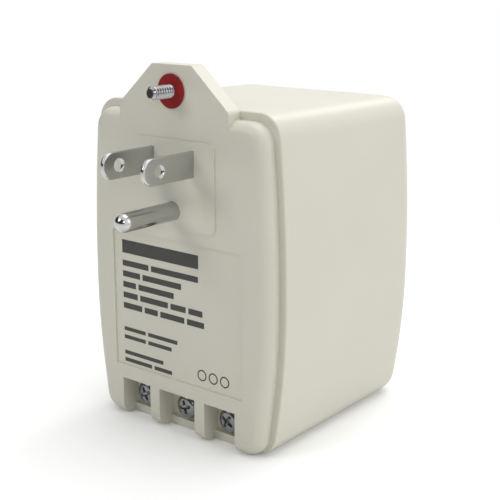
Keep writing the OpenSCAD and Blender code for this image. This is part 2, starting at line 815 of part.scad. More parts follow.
rear_case();
front_cover();
blade_retainer();
line_blade();
neutral_blade();
ground_pin();
mounting_screw();
retaining_washer();
terminal_plate_left();
terminal_plate_middle();
terminal_plate_right();
wire_clamp_left();
wire_clamp_middle();
wire_clamp_right();
terminal_screw_left();
terminal_screw_middle();
terminal_screw_right();
core_e_stack();
core_i_stack();
bobbin();
primary_winding();
secondary_winding();
primary_tape();
secondary_tape();
thermal_fuse();
line_lead();
neutral_lead();
ground_lead();
secondary_lead_left();
secondary_lead_right();
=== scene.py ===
"""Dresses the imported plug-in transformer: two moulded shells, plug, screws and the parts inside.

Units are metres in the row frame: X across the mounting face, Y back from it, Z up. The
mounting face is at FACE_Y. New pieces are surfaces worked out with numpy.
"""

import logging
import math
from dataclasses import dataclass
from enum import Enum

import bmesh
import bpy
import numpy as np
from mathutils import Matrix, Vector

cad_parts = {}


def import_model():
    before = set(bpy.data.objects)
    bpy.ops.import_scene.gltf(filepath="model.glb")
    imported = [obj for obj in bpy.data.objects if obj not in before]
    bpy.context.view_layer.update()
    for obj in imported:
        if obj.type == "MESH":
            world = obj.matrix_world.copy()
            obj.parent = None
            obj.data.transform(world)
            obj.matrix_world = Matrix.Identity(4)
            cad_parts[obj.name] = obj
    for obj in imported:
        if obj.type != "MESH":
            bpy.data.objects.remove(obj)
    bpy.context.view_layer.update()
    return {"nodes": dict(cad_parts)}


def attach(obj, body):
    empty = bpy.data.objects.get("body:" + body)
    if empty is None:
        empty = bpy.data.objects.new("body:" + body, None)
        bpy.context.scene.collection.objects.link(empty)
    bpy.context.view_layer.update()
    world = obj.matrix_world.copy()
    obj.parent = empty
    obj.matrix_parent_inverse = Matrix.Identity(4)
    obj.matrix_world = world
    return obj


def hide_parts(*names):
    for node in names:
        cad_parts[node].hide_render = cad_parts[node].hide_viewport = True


LOG = logging.getLogger("transformer")
MM = 0.001
FACE_Y = -32.0
PHOTO_PX = 500


class Facing(Enum):
    """Which way a screw head looks along Y."""

    FRONT = -1.0
    BACK = 1.0


def linear(hex_colour: str) -> tuple[float, float, float, float]:
    """Turns an sRGB hex colour to linear.

    Args:
        hex_colour: Six hex digits after a hash.

    Returns:
        Linear red, green, blue and an alpha of one.
    """
    parts = [int(hex_colour[i : i + 2], 16) / 255 for i in (1, 3, 5)]
    values = [p / 12.92 if p <= 0.04045 else ((p + 0.055) / 1.055) ** 2.4 for p in parts]
    return (*values, 1.0)


def add_node(tree: bpy.types.NodeTree, kind: str, links: dict | None = None, **settings) -> bpy.types.Node:
    """Adds one shader node with its settings and links.

    Args:
        tree: Node tree of the material.
        kind: Blender's type name of the node.
        links: Input socket names mapped to a value or to an output socket.
        settings: Attributes of the node itself.

    Returns:
        The new node.
    """
    node = tree.nodes.new(kind)
    for name, value in settings.items():
        setattr(node, name, value)
    for name, value in (links or {}).items():
        if isinstance(value, bpy.types.NodeSocket):
            tree.links.new(value, node.inputs[name])
        else:
            node.inputs[name].default_value = value
    return node


@dataclass(frozen=True)
class Finish:
    """A surface finish: what it is made of, and how its surface was made.

    The mottle is a slow change of colour between the two hex values, and the grain is a fine
    bump whose size is a real one in millimetres.
    """

    name: str
    colour: str
    mottle: str
    metallic: float = 0.0
    roughness: float = 0.5
    ior: float | None = None
    mottle_mm: float = 12.0
    grain_mm: float = 0.6
    grain_height_mm: float = 0.01
    bands_mm: float | None = None
    bands_axis: str = "Y"
    band_height_mm: float = 0.02

    def material(self) -> bpy.types.Material:
        """Builds the node material once and returns it afterwards."""
        found = bpy.data.materials.get(self.name)
        if found:
            return found
        made = bpy.data.materials.new(self.name)
        made.use_nodes = True
        tree = made.node_tree
        tree.nodes.clear()
        place = add_node(tree, "ShaderNodeTexCoord").outputs["Object"]
        slow = add_node(tree, "ShaderNodeTexNoise", {"Vector": place, "Scale": 1000 / self.mottle_mm, "Detail": 2.0})
        ramp = add_node(tree, "ShaderNodeValToRGB", {"Fac": slow.outputs["Fac"]})
        ramp.color_ramp.elements[0].position = 0.3
        ramp.color_ramp.elements[0].color = linear(self.mottle)
        ramp.color_ramp.elements[1].position = 0.7
        ramp.color_ramp.elements[1].color = linear(self.colour)
        fine = add_node(tree, "ShaderNodeTexNoise", {"Vector": place, "Scale": 1000 / self.grain_mm, "Detail": 2.0})
        bump = add_node(
            tree,
            "ShaderNodeBump",
            {"Height": fine.outputs["Fac"], "Strength": 1.0, "Distance": self.grain_height_mm * MM},
        )
        if self.bands_mm:
            bands = add_node(
                tree,
                "ShaderNodeTexWave",
                {"Vector": place, "Scale": 1000 / self.bands_mm / 20, "Distortion": 0.0},
                bands_direction=self.bands_axis,
            )
            bump = add_node(
                tree,
                "ShaderNodeBump",
                {
                    "Height": bands.outputs["Fac"],
                    "Strength": 1.0,
                    "Distance": self.band_height_mm * MM,
                    "Normal": bump.outputs["Normal"],
                },
            )
        links = {
            "Base Color": ramp.outputs["Color"],
            "Metallic": self.metallic,
            "Roughness": self.roughness,
            "Normal": bump.outputs["Normal"],
        }
        if self.ior:
            links["IOR"] = self.ior
        shader = add_node(tree, "ShaderNodeBsdfPrincipled", links)
        add_node(tree, "ShaderNodeOutputMaterial", {"Surface": shader.outputs["BSDF"]})
        return made


# Ivory ABS moulded in a lightly spark-eroded tool: satin, with a faint bloom and a fine grain
IVORY_ABS = Finish("moulded_ivory_abs", "#D7D5C7", "#D4D2C4", roughness=0.42, ior=1.54, mottle_mm=30,
                   grain_mm=0.5, grain_height_mm=0.004)
# The same ABS in the cover, from a smoother tool
COVER_ABS = Finish("moulded_cover_abs", "#D6D4C6", "#D3D1C3", roughness=0.4, ior=1.54, mottle_mm=26,
                   grain_mm=0.5, grain_height_mm=0.003)
# Pad-printed ink, dark grey and satin
LABEL_INK = Finish("pad_printed_grey_ink", "#3C3C3A", "#373735", roughness=0.5, ior=1.5)
# Bright nickel plating over brass, satin from rolling
NICKEL_BLADE = Finish("rolled_nickel_plated_brass", "#C3C3C3", "#BDBDBD", metallic=1.0, roughness=0.22,
                      mottle_mm=4, grain_mm=0.25, grain_height_mm=0.002)
# Nickel plating over a turned brass pin, brighter than the blades
NICKEL_PIN = Finish("turned_nickel_plated_brass", "#C4C4C3", "#BBBBBA", metallic=1.0, roughness=0.18,
                    mottle_mm=4, grain_mm=0.3, grain_height_mm=0.001)
# Clear zinc plating on rolled steel thread
ZINC_SCREW = Finish("zinc_plated_steel", "#B3B3B3", "#A2A2A4", metallic=1.0, roughness=0.22,
                    mottle_mm=2, grain_mm=0.2, grain_height_mm=0.002)
# Bare steel where the end of the screw was sheared, dark and dull
SHEARED_STEEL = Finish("sheared_steel_end", "#4C4B49", "#403F3E", metallic=1.0, roughness=0.5,
                       mottle_mm=0.8, grain_mm=0.15, grain_height_mm=0.004)
# Darker zinc plating on the cold-headed terminal screws
ZINC_TERMINAL = Finish("cold_headed_zinc_plated_steel", "#8F8F90", "#7C7C80", metallic=1.0, roughness=0.22,
                       mottle_mm=1.5, grain_mm=0.15, grain_height_mm=0.003)
# Punched red vulcanised fibre: dull, with a slight nap
RED_FIBRE = Finish("punched_vulcanised_fibre", "#930A10", "#85080D", roughness=0.75, ior=1.45,
                   mottle_mm=1.5, grain_mm=0.2, grain_height_mm=0.01)
# Bright-dipped brass of the stamped terminal pieces
STAMPED_BRASS = Finish("stamped_tinned_brass", "#A8A69C", "#98958A", metallic=1.0, roughness=0.35,
                       mottle_mm=2, grain_mm=0.2, grain_height_mm=0.003)
# Black glass-filled nylon of the retaining plate
BLACK_NYLON = Finish("moulded_black_nylon", "#1E1E1F", "#19191A", roughness=0.55, ior=1.53)
# Varnished silicon steel, half a millimetre a sheet, drawn as one band a sheet
LAMINATIONS = Finish("varnished_silicon_steel", "#4A4643", "#35322F", metallic=0.6, roughness=0.5,
                     bands_mm=0.5, bands_axis="Y", band_height_mm=0.06)
# Natural nylon of the bobbin
BOBBIN_NYLON = Finish("moulded_natural_nylon", "#D9D0B4", "#CFC5A6", roughness=0.45, ior=1.53)
# Enamelled copper, one band a turn
ENAMELLED_COPPER = Finish("wound_enamelled_copper", "#A4552B", "#8E4522", metallic=0.7, roughness=0.3,
                          bands_mm=0.5, bands_axis="X", band_height_mm=0.12)
# Yellow polyester tape with a glossy face
POLYESTER_TAPE = Finish("wound_polyester_tape", "#D9B53C", "#CDA630", roughness=0.25, ior=1.6,
                        mottle_mm=6, grain_height_mm=0.006)
# Tinned can of the thermal fuse
FUSE_CAN = Finish("drawn_tinned_brass", "#BEB8A8", "#ADA797", metallic=1.0, roughness=0.3)
# PVC insulation, satin from extrusion
PVC_BLACK = Finish("extruded_black_pvc", "#1B1B1C", "#161617", roughness=0.4, ior=1.53)
PVC_WHITE = Finish("extruded_white_pvc", "#E4E3DD", "#DAD9D2", roughness=0.4, ior=1.53)
PVC_GREEN = Finish("extruded_green_pvc", "#24663A", "#1E5A32", roughness=0.4, ior=1.53)
PVC_RED = Finish("extruded_red_pvc", "#9C1F22", "#8E1A1D", roughness=0.4, ior=1.53)

NODE_FINISHES = {
    "blade_retainer": BLACK_NYLON,
    "terminal_plate_left": STAMPED_BRASS,
    "terminal_plate_middle": STAMPED_BRASS,
    "terminal_plate_right": STAMPED_BRASS,
    "wire_clamp_left": STAMPED_BRASS,
    "wire_clamp_middle": STAMPED_BRASS,
    "wire_clamp_right": STAMPED_BRASS,
    "core_e_stack": LAMINATIONS,
    "core_i_stack": LAMINATIONS,
    "bobbin": BOBBIN_NYLON,
    "primary_winding": ENAMELLED_COPPER,
    "secondary_winding": ENAMELLED_COPPER,
    "primary_tape": POLYESTER_TAPE,
    "secondary_tape": POLYESTER_TAPE,
    "thermal_fuse": FUSE_CAN,
    "line_lead": PVC_BLACK,
    "neutral_lead": PVC_WHITE,
    "ground_lead": PVC_GREEN,
    "secondary_lead_left": PVC_RED,
    "secondary_lead_right": PVC_RED,
}


def grid_faces(rows: int, columns: int, closed: bool) -> np.ndarray:
    """Quads of a grid of points, row by row.

    Args:
        rows: Number of rings.
        columns: Points in each ring.
        closed: Whether each ring joins up with itself.

    Returns:
        Vertex numbers, four to a row.
    """
    k = np.arange(rows - 1)[:, None]
    i = np.arange(columns if closed else columns - 1)[None, :]
    j = (i + 1) % columns
    corners = [k * columns + i, k * columns + j, (k + 1) * columns + j, (k + 1) * columns + i]
    return np.stack([np.broadcast_to(c, (rows - 1, i.shape[1])) for c in corners], -1).reshape(-1, 4)


def surface(
    name: str, points: np.ndarray, faces: np.ndarray, sharp_deg: float = 40.0, fill_x: float | None = None
) -> bpy.types.Object:
    """Makes a smooth mesh object from points in millimetres, with doubles merged and faces outwards.

    Args:
        name: Name of the piece.
        points: Points in the row frame, in millimetres.
        faces: Vertex numbers, four to a row.
        sharp_deg: Edges that turn more than this stay crisp.
        fill_x: Where given, the open edges on each side of this X are filled with a flat face.

    Returns:
        The object, at the origin, with its place in its mesh.
    """
    mesh = bpy.data.meshes.new(name)
    mesh.from_pydata((points.reshape(-1, 3) * MM).tolist(), [], faces.tolist())
    work = bmesh.new()
    work.from_mesh(mesh)
    bmesh.ops.remove_doubles(work, verts=work.verts, dist=1e-6)
    if fill_x is not None:
        rims = [edge for edge in work.edges if edge.is_boundary]
        for high in (True, False):
            side = [edge for edge in rims if (edge.verts[0].co.x > fill_x * MM) == high]
            bmesh.ops.triangle_fill(work, use_beauty=True, edges=side)
    bmesh.ops.recalc_face_normals(work, faces=work.faces)
    work.to_mesh(mesh)
    work.free()
    return placed(name, mesh, sharp_deg)


def placed(name: str, mesh: bpy.types.Mesh, sharp_deg: float) -> bpy.types.Object:
    """Links a finished mesh into the scene, shaded smooth up to an angle."""
    mesh.shade_smooth()
    mesh.set_sharp_from_angle(angle=math.radians(sharp_deg))
    piece = bpy.data.objects.new(name, mesh)
    bpy.context.scene.collection.objects.link(piece)
    return piece


def bevelled(piece: bpy.types.Object, width_mm: float, segments: int = 3, angle_deg: float = 40.0) -> None:
    """Rounds the crisp edges of a piece and keeps its flats flat.

    Args:
        piece: The object to finish.
        width_mm: Radius of the rounding.
        segments: Faces across the rounding.
        angle_deg: Edges that turn less than this are left alone.
    """
    bevel = piece.modifiers.new("edges", "BEVEL")
    bevel.width = width_mm * MM
    bevel.segments = segments
    bevel.limit_method = "ANGLE"
    bevel.angle_limit = math.radians(angle_deg)
    bevel.use_clamp_overlap = True
    bevel.harden_normals = False
    weight = piece.modifiers.new("flats", "WEIGHTED_NORMAL")
    weight.keep_sharp = True


def dress(piece: bpy.types.Object, finish: Finish, body: str, slot: str, *nodes: str) -> None:
    """Gives a piece its finish and its body, and hides the nodes that it stands for."""
    piece.data.materials.append(finish.material())
    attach(piece, body)
    if nodes:
        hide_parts(*nodes)
    LOG.info("%s rides on %s, finish %s", piece.name, body, finish.name)


def arc(start_deg: float, end_deg: float, steps: int) -> np.ndarray:
    """Angles in radians from start to end, both included."""
    return np.radians(np.linspace(start_deg, end_deg, steps + 1))


@dataclass
class Outline:
    """Outline of a shell seen from the front: two corner arcs and two shallow bows a side.

    The bows meet at the widest height. Drawing the outline in by an inset shortens every
    radius by it, so that insets are parallel curves.
    """

    half_width: float
    low: float
    high: float
    corner_r: float
    bow_z: float = 36.0
    lower_r: float = 179.0
    upper_r: float = 404.0
    corner_steps: int = 16
    side_steps: int = 24

    def ring(self, inset: float) -> np.ndarray:
        """Points of the outline at an inset.

        Args:
            inset: Distance in from the full outline, in millimetres.

        Returns:
            Points as X and Z, anticlockwise from the middle of the base.
        """
        r = self.corner_r - inset
        low_r = self.lower_r - inset
        up_r = self.upper_r - inset
        low_z = self.low + self.corner_r
        up_z = self.high - self.corner_r
        low_a = math.asin((self.bow_z - low_z) / (low_r - r))
        up_a = math.asin((up_z - self.bow_z) / (up_r - r))
        edge = self.half_width - inset
        low_x = edge - low_r + (low_r - r) * math.cos(low_a)
        up_x = edge - up_r + (up_r - r) * math.cos(up_a)
        first = np.linspace(-math.pi / 2, -low_a, self.corner_steps + 1)
        second = np.linspace(-low_a, 0, self.side_steps + 1)[1:]
        third = np.linspace(0, up_a, self.side_steps + 1)[1:]
        fourth = np.linspace(up_a, math.pi / 2, self.corner_steps + 1)[1:]
        flat = np.linspace(0, 1, 9)[:-1, None]
        parts = [
            np.stack([low_x + r * np.cos(first), low_z + r * np.sin(first)], -1),
            np.stack([edge - low_r + low_r * np.cos(second), self.bow_z + low_r * np.sin(second)], -1),
            np.stack([edge - up_r + up_r * np.cos(third), self.bow_z + up_r * np.sin(third)], -1),
            np.stack([up_x + r * np.cos(fourth), up_z + r * np.sin(fourth)], -1),
        ]
        side = np.concatenate(parts)
        bottom = flat * side[0]
        bottom[:, 1] = side[0, 1]
        top = (1 - flat) * side[-1]
        top[:, 1] = side[-1, 1]
        half = np.concatenate([bottom, side, top[1:], [[0.0, side[-1, 1]]]])
        mirrored = half[::-1][1:-1] * np.array([-1, 1])
        return np.concatenate([half, mirrored])


@dataclass
class RearCase:
    """The deep rear shell: its outline drawn back with a slight draft, round at the back."""

    half_width: float = 30.8
    height: float = 82.3
    depth: float = 61.6
    corner_r: float = 6.2
    back_r: float = 5.0
    wall: float = 2.29
    draft: float = 0.75
    rim_y: float = 4.1
    rim_r: float = 0.35
    floor_y: float = 10.0

    def ring(self, y: float, inset: float) -> np.ndarray:
        """Closed ring at a distance behind the mounting face, drawn in by the draft and an inset."""
        draw = self.draft * (y - self.rim_y) / (self.depth - self.rim_y)
        flat = Outline(self.half_width - draw, 0.0, self.height - draw, self.corner_r).ring(inset)
        return np.stack([flat[:, 0], np.full(len(flat), y + FACE_Y), flat[:, 1]], -1)

    def profile(self) -> list[tuple[float, float]]:
        """Pairs of distance and inset: inner wall, rim, outer wall, rounded back."""
        inner = [(y, self.wall) for y in (40.0, 30.0, 20.0, 12.0, 8.0, 6.0, self.rim_y + 0.4)]
        rim = [(self.rim_y, inset) for inset in (self.wall, self.wall - 0.05, 1.6, 1.2, 0.8, 0.5)]
        rim += [
            (self.rim_y + self.rim_r * (1 - math.cos(a)), self.rim_r * (1 - math.sin(a)))
            for a in arc(0, 90, 6)
        ]
        outer = [(y, 0.0) for y in (self.rim_y + 0.6, 5.5, 8.0, 14.0, 22.0, 30.0, 38.0, 46.0, 52.0, 55.5)]
        start = self.depth - self.back_r
        back = [
            (start + self.back_r * math.sin(a), self.back_r * (1 - math.cos(a)))
            for a in arc(0, 90, 16)
        ]
        return inner + rim + outer + back

    def build(self) -> bpy.types.Object:
        """Carries the profile round the outline and closes the back with shrinking rings."""
        rings = [self.ring(y, inset) for y, inset in self.profile()]
        last = rings[-1]
        centre = np.array([0.0, self.depth + FACE_Y, self.height / 2])
        rings += [centre + (last - centre) * share for share in (0.98, 0.94, 0.85, 0.7, 0.5, 0.25, 0.0)]
        first = rings[0]
        inner = first.mean(0)
        rings = [inner + (first - inner) * share for share in (0.0, 0.5, 0.98)] + rings
        points = np.stack(rings)
        return surface("rear_case_shell", points, grid_faces(points.shape[0], points.shape[1], True), 60)

    def dress(self) -> None:
        """Stands in for the rear case."""
        dress(self.build(), IVORY_ABS, "root", "case", "rear_case")


@dataclass
class FrontCover:
    """The front cover: a merged copy of its solid with every moulded edge rounded.

    Its underside is let down almost to the shelf, and the holes of the pin and the blades are
    closed in to the dressed pieces.
    """

    edge_r: float = 0.17
    half_width: float = 28.9
    low: float = 1.5
    high: float = 80.3
    corner_r: float = 5.2
    drop: float = 1.25
    rim_y: float = 4.1
    pin_z: float = 57.5
    tuck: float = 0.25
    tab_half_w: float = 17.5
    hole_r: float = 2.675
    new_hole_r: float = 2.33
    blade_x: float = 6.35
    blade_z: float = 69.4
    slot_half: tuple[float, float] = (0.6, 3.12)

    def shaped(self, points: np.ndarray) -> np.ndarray:
        """Moves the points of the underside down and those of the pin's hole in.

        Args:
            points: Points in millimetres, with Y measured from the mounting face.

        Returns:
            The moved points. The drop is full below the front edge's rounding and fades out
            as a smooth step above it. Points inside the shell's lip stay. The back edge is
            tucked behind the rim of the case, so that its rounding leaves no gap.
        """
        x, y, z = points.T
        corner_x = np.abs(Outline(self.half_width, self.low, self.high, self.corner_r).ring(0.0)[:, 0][9])
        centre_z = self.low + self.corner_r
        out = np.where(np.abs(x) > corner_x, np.hypot(np.abs(x) - corner_x, z - centre_z), centre_z - z)
        skin = (out > self.corner_r - 0.6) | (y < self.rim_y - 0.6)
        fade = np.clip((10.0 - z) / 5.5, 0, 1)
        fade = fade * fade * (3 - 2 * fade)
        moved = points.copy()
        moved[:, 2] -= self.drop * fade * (skin & (y < self.rim_y + 0.05))
        back = (np.abs(y - self.rim_y) < 0.02) & ((np.abs(x) > self.tab_half_w) | (z < self.high - 1))
        moved[:, 1] += self.tuck * back
        lip_front = np.abs(y - self.rim_y + 0.5) < 0.02
        moved[:, 1] = np.where(lip_front, self.rim_y + 0.03, moved[:, 1])
        reach = np.hypot(x, z - self.pin_z)
        hole = np.abs(reach - self.hole_r) < 0.03
        share = np.where(hole, self.new_hole_r / np.maximum(reach, 0.1), 1.0)
        moved[:, 0] *= share
        moved[:, 2] = np.where(hole, self.pin_z + (z - self.pin_z) * share, moved[:, 2])
        for centre in (-self.blade_x, self.blade_x):
            slot = (np.abs(x - centre) < 0.9) & (np.abs(z - self.blade_z) < 3.3) & (y < 2.4)
            moved[:, 0] = np.where(slot, centre + np.sign(x - centre) * self.slot_half[0], moved[:, 0])
            moved[:, 2] = np.where(slot, self.blade_z + np.sign(z - self.blade_z) * self.slot_half[1], moved[:, 2])
        return moved

    def build(self, node: bpy.types.Object) -> bpy.types.Object:
        """Copies the node's mesh, merges its loose triangles and joins those that lie flat.

        Args:
            node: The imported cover, whose own mesh stays as it is.

        Returns:
            The dressed cover.
        """
        mesh = node.data.copy()
        mesh.materials.clear()
        flat = np.empty(len(mesh.vertices) * 3, np.float32)
        mesh.vertices.foreach_get("co", flat)
        offset = np.array([0.0, FACE_Y, 0.0])
        points = self.shaped(flat.reshape(-1, 3).astype(float) / MM - offset) + offset
        mesh.vertices.foreach_set("co", (points * MM).astype(np.float32).ravel())
        work = bmesh.new()
        work.from_mesh(mesh)
        bmesh.ops.remove_doubles(work, verts=work.verts, dist=2e-6)
        bmesh.ops.dissolve_limit(
            work, angle_limit=math.radians(0.6), verts=work.verts, edges=work.edges, use_dissolve_boundaries=False
        )
        work.to_mesh(mesh)
        work.free()
        piece = placed("front_cover_shell", mesh, 40)
        bevelled(piece, self.edge_r)
        return piece

    def dress(self, node: bpy.types.Object) -> None:
        """Stands in for the front cover."""
        dress(self.build(node), COVER_ABS, "root", "cover", "front_cover")


@dataclass
class LabelPrint:
    """Generic print in the label recess: plain bars and rings, with no lettering."""

    left: float = -18.2
    top: float = 47.6
    ink_y: float = 0.36
    floor_y: float = 0.4

    def bars(self) -> list[tuple[float, float, float, float]]:
        """Low X, low Z, width and height of each bar, row by row."""
        rows = [
            (3.4, 0.0, (25.5,)),
            (1.5, 5.3, (9.0, 15.5)),
            (1.5, 8.1, (6.0, 13.0)),
            (1.5, 10.9, (4.5, 12.0)),
            (1.5, 13.7, (5.0, 9.5, 5.0, 4.5)),
            (1.5, 16.5, (6.5, 4.5, 8.0, 5.5)),
            (1.0, 23.0, (7.5, 10.0)),
            (1.0, 25.2, (7.5, 8.0)),
            (1.0, 29.4, (13.5,)),
            (1.0, 31.4, (9.5, 6.0)),
        ]
        made = []
        for height, drop, widths in rows:
            x = self.left
            for width in widths:
                made.append((x, self.top - drop - height, width, height))
                x += width + 0.9
        return made

    def build(self) -> bpy.types.Object:
        """Makes each bar a very thin slab and each ring a thin flat washer."""
        x, z, w, h = np.array(self.bars()).T
        corners = [(0, 0), (1, 0), (1, 1), (0, 1)]
        front = np.stack([np.stack([x + i * w, np.full_like(x, self.ink_y), z + j * h], -1) for i, j in corners], 1)
        back = front + np.array([0, self.floor_y - self.ink_y, 0])
        slabs = np.concatenate([front, back], 1).reshape(-1, 3)
        pattern = np.array([(0, 1, 2, 3), (4, 7, 6, 5), (0, 4, 5, 1), (1, 5, 6, 2), (2, 6, 7, 3), (3, 7, 4, 0)])
        faces = (pattern[None] + 8 * np.arange(len(x))[:, None, None]).reshape(-1, 4)
        a = np.linspace(0, 2 * math.pi, 40, endpoint=False)
        section = [(1.45, self.ink_y), (1.45, self.floor_y), (1.12, self.floor_y), (1.12, self.ink_y), (1.45, self.ink_y)]
        for centre in (8.2, 11.8, 15.4):
            ring = np.stack(
                [np.stack([centre + r * np.cos(a), np.full(40, y), 17.6 + r * np.sin(a)], -1) for r, y in section]
            )
            faces = np.concatenate([faces, grid_faces(5, 40, True) + len(slabs)])
            slabs = np.concatenate([slabs, ring.reshape(-1, 3)])
        return surface("label_print_bars", slabs + np.array([0, FACE_Y, 0]), faces, 20)

    def dress(self) -> None:
        """Lays the print on the cover."""
        dress(self.build(), LABEL_INK, "root", "cover")


def revolved(name: str, profile: np.ndarray, centre: tuple[float, float], columns: int = 96) -> bpy.types.Object:
    """Revolves a profile about an axis along Y.

    Args:
        name: Name of the piece.
        profile: Pairs of radius and distance behind the mounting face.
        centre: X and Z of the axis.
        columns: Points round the axis.

    Returns:
        The turned piece.
    """
    a = np.linspace(0, 2 * math.pi, columns, endpoint=False)
    r = profile[:, 0][:, None]
    y = np.broadcast_to(profile[:, 1][:, None] + FACE_Y, (len(profile), columns))
    points = np.stack([centre[0] + r * np.cos(a), y, centre[1] + r * np.sin(a)], -1)
    return surface(name, points, grid_faces(len(profile), columns, True))


def rounded_profile(corners: list[tuple[float, float, float]], steps: int = 6) -> np.ndarray:
    """Open profile with its corners rounded.

    Args:
        corners: Radius, distance and rounding of each corner, in order.
        steps: Pieces along each rounding.

    Returns:
        Points as radius and distance. A rounding is the arc that touches both of its edges.
    """
    points = [np.array(corners[0][:2])]
    for before, here, after in zip(corners, corners[1:], corners[2:]):
        b, r = np.array(here[:2]), here[2]
        u = np.array(before[:2]) - b
        v = np.array(after[:2]) - b
        u, v = u / np.linalg.norm(u), v / np.linalg.norm(v)
        half = math.acos(np.clip(u @ v, -1, 1)) / 2
        if r <= 0 or half > 1.55:
            points.append(b)
            continue
        centre = b + (u + v) / np.linalg.norm(u + v) * r / math.sin(half)
        start = b + u * r / math.tan(half) - centre
        end = b + v * r / math.tan(half) - centre
        a0 = math.atan2(start[1], start[0])
        sweep = (math.atan2(end[1], end[0]) - a0 + math.pi) % (2 * math.pi) - math.pi
        a = a0 + sweep * np.linspace(0, 1, steps + 1)
        points.extend(centre + r * np.stack([np.cos(a), np.sin(a)], -1))
    points.append(np.array(corners[-1][:2]))
    return np.array(points)


@dataclass
class GroundPin:
    """The round ground pin: a turned pin with a domed end and a flange behind the wall."""

    radius: float = 2.28
    length: float = 18.5
    z: float = 57.5
    face_t: float = 2.3
    flange_r: float = 3.575
    tail_r: float = 1.58

    def build(self) -> bpy.types.Object:
        """Revolves the pin's outline, whose end is a quarter circle."""
        a = arc(0, 90, 24)
        dome = np.stack([self.radius * np.sin(a), -self.length + self.radius * (1 - np.cos(a))], -1)
        back = self.face_t + 1.3
        shank = rounded_profile(
            [
                (self.radius, -self.length + self.radius, 0),
                (self.radius, self.face_t, 0.0),
                (self.flange_r, self.face_t, 0.2),
                (self.flange_r, back, 0.2),
                (self.tail_r, back, 0.0),
                (self.tail_r, 8.2, 0.2),
                (0.0, 8.2, 0.0),
            ]
        )
        return revolved("ground_pin_turned", np.concatenate([dome, shank[1:]]), (0.0, self.z), 128)

    def dress(self) -> None:
        """Stands in for the ground pin."""
        dress(self.build(), NICKEL_PIN, "root", "pin", "ground_pin")


@dataclass
class PlugBlade:
    """A flat blade: rolled edges, a coined tip, a latching hole, a shoulder and a tail."""

    side: str
    x: float
    z: float = 69.4
    height: float = 6.2
    thickness: float = 1.16
    length: float = 16.8
    tip_r: float = 2.9
    hole_r: float = 1.62
    hole_y: float = -11.75

    def outline(self) -> np.ndarray:
        """Closed outline of the blade as distance and height, anticlockwise."""
        half, shoulder, tail = self.height / 2, self.height / 2 + 1.1, self.height / 3
        front, rear, end = 2.3, 3.6, 8.2
        low = [
            (-self.length, -half, self.tip_r),
            (front, -half, 0.0),
            (front, -shoulder, 0.2),
            (rear, -shoulder, 0.2),
            (rear, -tail, 0.0),
            (end, -tail, 0.2),
        ]
        corners = low + [(y, -z, r) for y, z, r in reversed(low)]
        return rounded_profile([corners[-1], *corners, corners[0]], 18)[1:-1]

    def rings(self) -> np.ndarray:
        """Rings from one flat of the blade over its edge to the other flat.

        Returns:
            Grid of points. The edge is a quarter ellipse on each side: its width in the plane
            and its depth across both grow towards the tip, where the blade is coined thin.
        """
        p = self.outline()
        ahead, behind = np.roll(p, -1, 0) - p, p - np.roll(p, 1, 0)
        ahead /= np.linalg.norm(ahead, axis=1)[:, None]
        behind /= np.linalg.norm(behind, axis=1)[:, None]
        middle = ahead + behind
        middle /= np.linalg.norm(middle, axis=1)[:, None]
        out = np.stack([middle[:, 1], -middle[:, 0]], -1) / np.maximum((middle * ahead).sum(1), 0.5)[:, None]
        near = np.clip((-self.length + 3.6 - p[:, 0]) / 2.6, 0, 1)
        near = near * near * (3 - 2 * near)
        width, depth = 0.13 + 0.3 * near, 0.12 + 0.26 * near
        half = self.thickness / 2
        rings = [np.column_stack([np.full(len(p), half), p - out * (width + 0.06)[:, None]])]
        for a in arc(0, 90, 6):
            flat = p - out * (width * (1 - math.sin(a)))[:, None]
            rings.append(np.column_stack([half - depth * (1 - math.cos(a)), flat]))
        return np.stack(rings + [ring * np.array([-1, 1, 1]) for ring in reversed(rings)])

    def hole(self, columns: int = 64) -> np.ndarray:
        """Rings through the latching hole, with slightly broken edges."""
        a = np.linspace(0, 2 * math.pi, columns, endpoint=False)
        edge, half = 0.12, self.thickness / 2
        turns = arc(0, 90, 4)
        sizes = [(self.hole_r + edge + 0.06, half)]
        sizes += [(self.hole_r + edge * (1 - math.sin(t)), half - edge * (1 - math.cos(t))) for t in turns]
        rings = [
            np.stack([np.full(columns, x), self.hole_y + r * np.cos(a), r * np.sin(a)], -1) for r, x in sizes
        ]
        return np.stack(rings + [ring * np.array([-1, 1, 1]) for ring in reversed(rings)])

    def build(self) -> bpy.types.Object:
        """Joins the edge and the hole with two flats."""
        outer, inner = self.rings(), self.hole()
        points = np.concatenate([outer.reshape(-1, 3), inner.reshape(-1, 3)])
        faces = np.concatenate(
            [
                grid_faces(outer.shape[0], outer.shape[1], True),
                grid_faces(inner.shape[0], inner.shape[1], True) + outer.shape[0] * outer.shape[1],
            ]
        )
        points = points + np.array([self.x, FACE_Y, self.z])
        return surface(f"{self.side}_blade_coined", points, faces, 40, fill_x=self.x)

    def dress(self) -> None:
        """Stands in for the blade."""
        dress(self.build(), NICKEL_BLADE, "root", "blade", f"{self.side}_blade")


def cross_depth(x: np.ndarray, z: np.ndarray, size: float, depth: float) -> np.ndarray:
    """Depth of a cross recess at points of a head.

    Each of the two wings is as deep as it is near the middle, and its walls lean by a short
    smooth step, so the recess is the deeper of the two wings at every point.

    Args:
        x: First coordinate across the head.
        z: Second coordinate across the head.
        size: Span of the recess.
        depth: Greatest depth.

    Returns:
        The depth at each point.
    """

    def step(t: np.ndarray) -> np.ndarray:
        t = np.clip(t, 0, 1)
        return t * t * (3 - 2 * t)

    def wing(along: np.ndarray, across: np.ndarray) -> np.ndarray:
        half = size / 2
        wide = size * 0.105
        taper = np.clip(1 - np.abs(along) / half, 0, 1)
        wall = step((wide * (1 + 0.5 * taper) - np.abs(across)) / (0.5 * wide))
        end = step((half - np.abs(along)) / (0.12 * half))
        return depth * wall * end * (0.45 + 0.55 * taper)

    return np.maximum(wing(x, z), wing(z, x))


